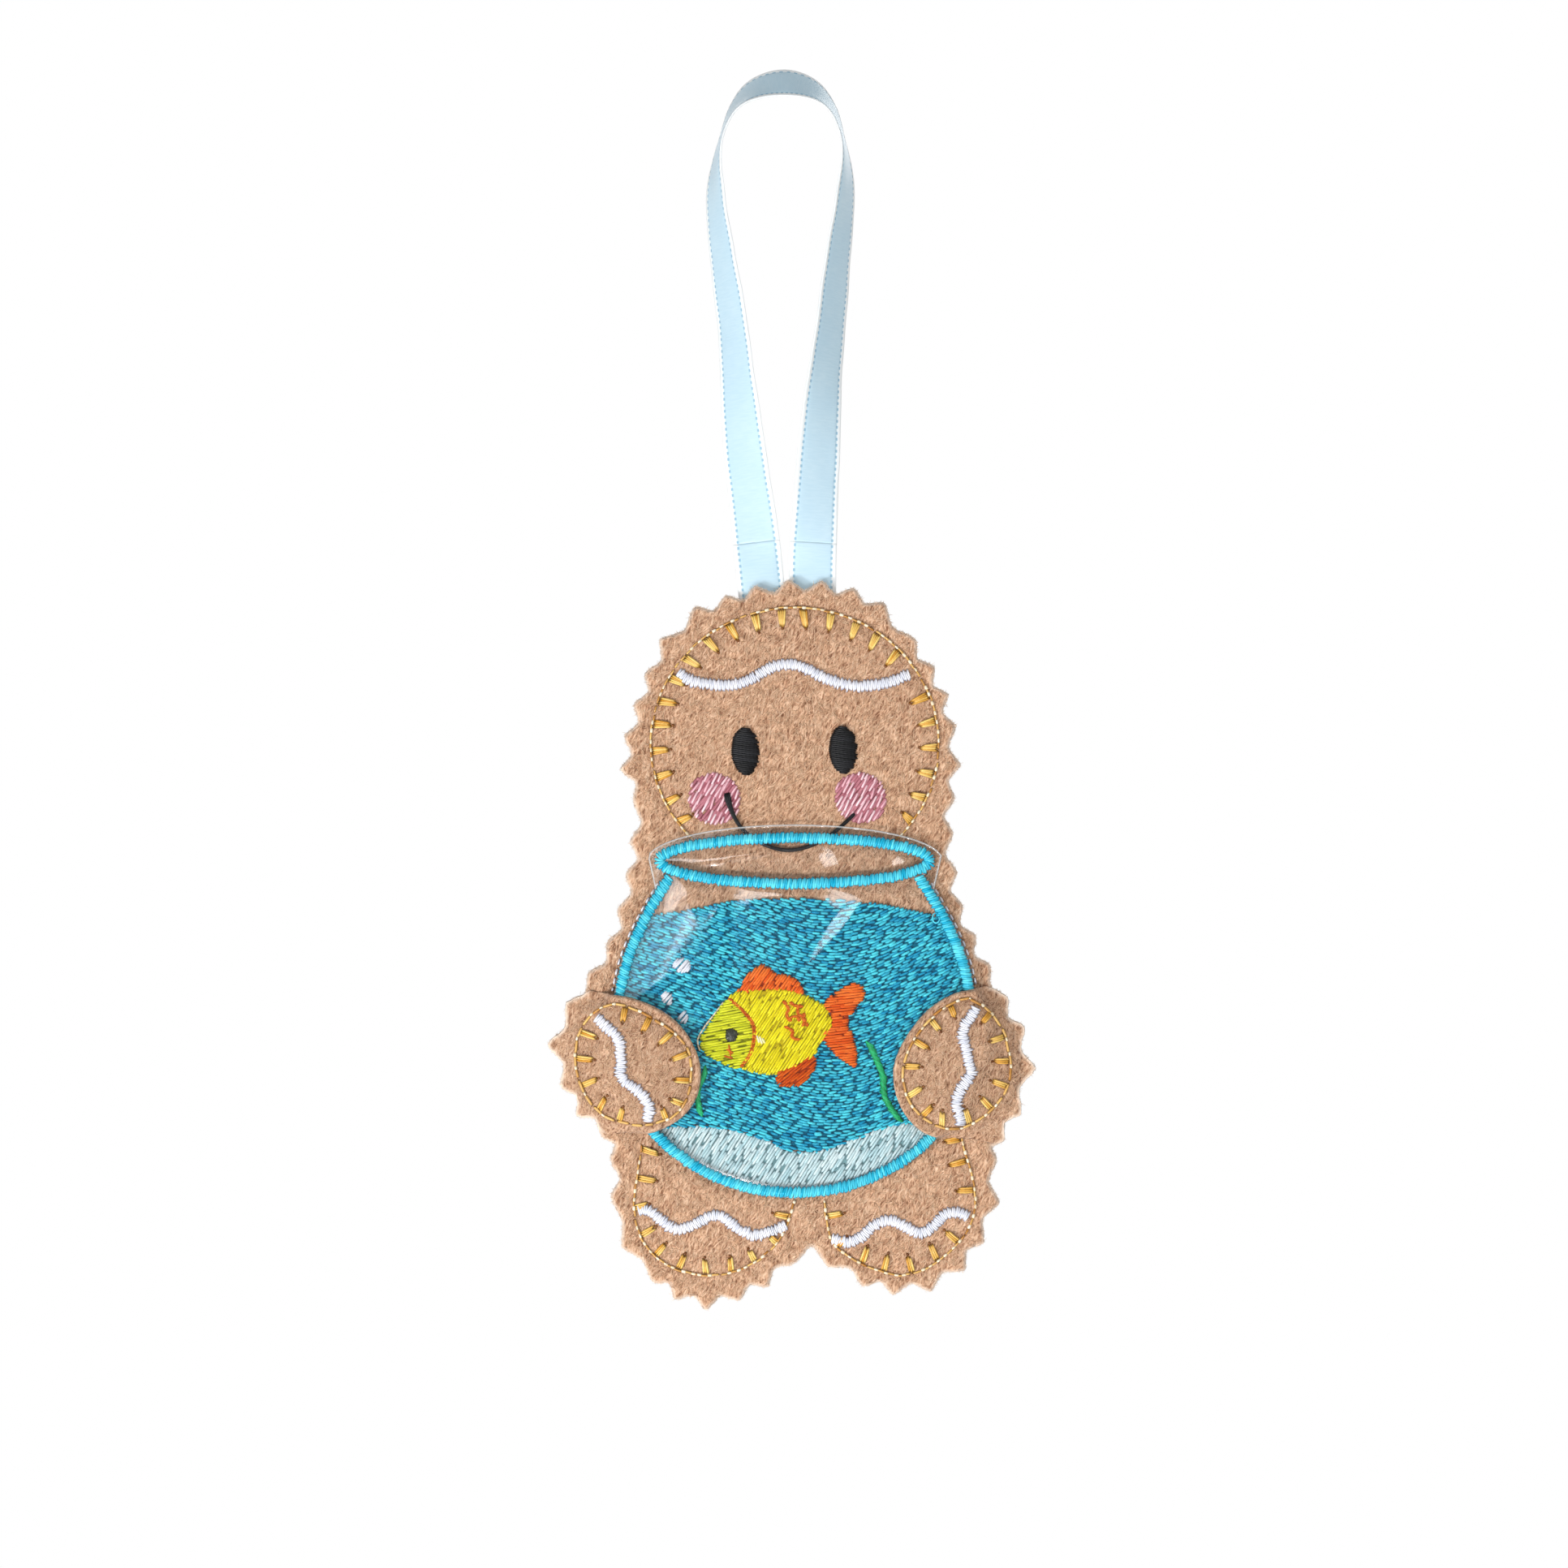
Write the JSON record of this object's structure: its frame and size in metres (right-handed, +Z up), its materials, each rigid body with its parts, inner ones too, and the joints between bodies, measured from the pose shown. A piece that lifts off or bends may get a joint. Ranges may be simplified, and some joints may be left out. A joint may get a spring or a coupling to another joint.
{
  "type": "felt christmas ornament",
  "caption": "Flat felt gingerbread figure with pinked edges that holds a goldfish bowl under a clear window and hangs on a satin ribbon loop.",
  "frame": {"origin": "the top of the ribbon loop, at the middle of the tape, where the loop hangs on a hook or twig", "axes": "+Z up, +X to the right of the figure seen from the front, and the front faces -Y"},
  "size_m": [0.0726, 0.009, 0.1856],
  "materials": {
    "satin_ribbon": "woven polyester satin, pale blue, with bound edges",
    "tan_felt": "craft felt, tan, pinked edge",
    "backing_sheet": "non-woven tear-away backing, off-white",
    "clear_vinyl": "clear soft vinyl sheet, glossy",
    "gold_thread": "rayon embroidery thread, gold",
    "white_thread": "rayon embroidery thread, white",
    "black_thread": "rayon embroidery thread, black",
    "pink_thread": "rayon embroidery thread, pink",
    "turquoise_thread": "rayon embroidery thread, turquoise, satin stitched",
    "water_thread": "rayon embroidery thread, teal blue, filled",
    "sand_thread": "rayon embroidery thread, pale aqua, filled",
    "fish_thread": "rayon embroidery thread, yellow, filled",
    "fish_head_thread": "rayon embroidery thread, lime yellow, filled",
    "fin_thread": "rayon embroidery thread, orange, filled",
    "seaweed_thread": "rayon embroidery thread, green"
  },
  "bodies": {
    "ribbon_loop": {"ribbon_loop": "satin_ribbon"},
    "ribbon_legs": {"ribbon_leg_left": "satin_ribbon", "ribbon_leg_right": "satin_ribbon"},
    "figure": {"ribbon_tail_left": "satin_ribbon", "ribbon_tail_right": "satin_ribbon", "front_felt": "tan_felt", "back_felt": "tan_felt", "hand_left_felt": "tan_felt", "hand_right_felt": "tan_felt", "stabiliser_sheet": "backing_sheet", "vinyl_window": "clear_vinyl", "head_seam_thread": "gold_thread", "leg_left_seam_thread": "gold_thread", "leg_right_seam_thread": "gold_thread", "hand_left_seam_thread": "gold_thread", "hand_right_seam_thread": "gold_thread", "back_seam_thread": "gold_thread", "body_seam_left_thread": "white_thread", "body_seam_right_thread": "white_thread", "icing_forehead": "white_thread", "icing_left_hand": "white_thread", "icing_right_hand": "white_thread", "icing_left_leg": "white_thread", "icing_right_leg": "white_thread", "bubble_top": "white_thread", "bubble_middle": "white_thread", "bubble_low": "white_thread", "eye_left": "black_thread", "eye_right": "black_thread", "mouth_stitch": "black_thread", "fish_eye": "black_thread", "cheek_left": "pink_thread", "cheek_right": "pink_thread", "bowl_rim_stitch": "turquoise_thread", "bowl_outline_stitch": "turquoise_thread", "water_fill": "water_thread", "sand_fill": "sand_thread", "fish_body": "fish_thread", "fish_head": "fish_head_thread", "fish_dorsal_fin": "fin_thread", "fish_tail": "fin_thread", "fish_anal_fin": "fin_thread", "fish_scale_mark": "fin_thread", "seaweed_left": "seaweed_thread", "seaweed_right": "seaweed_thread"}
  },
  "joints": [
    {"name": "ribbon_twist", "type": "hinge", "parent": "ribbon_loop", "child": "ribbon_legs", "pos_m": [0, 0, -0.0555], "axis": [0, 0, 1], "range_deg": [-90, 90]},
    {"name": "ribbon_fold", "type": "hinge", "parent": "ribbon_legs", "child": "figure", "pos_m": [0, 0, -0.0738], "axis": [1, 0, 0], "range_deg": [-85, 85]}
  ]
}
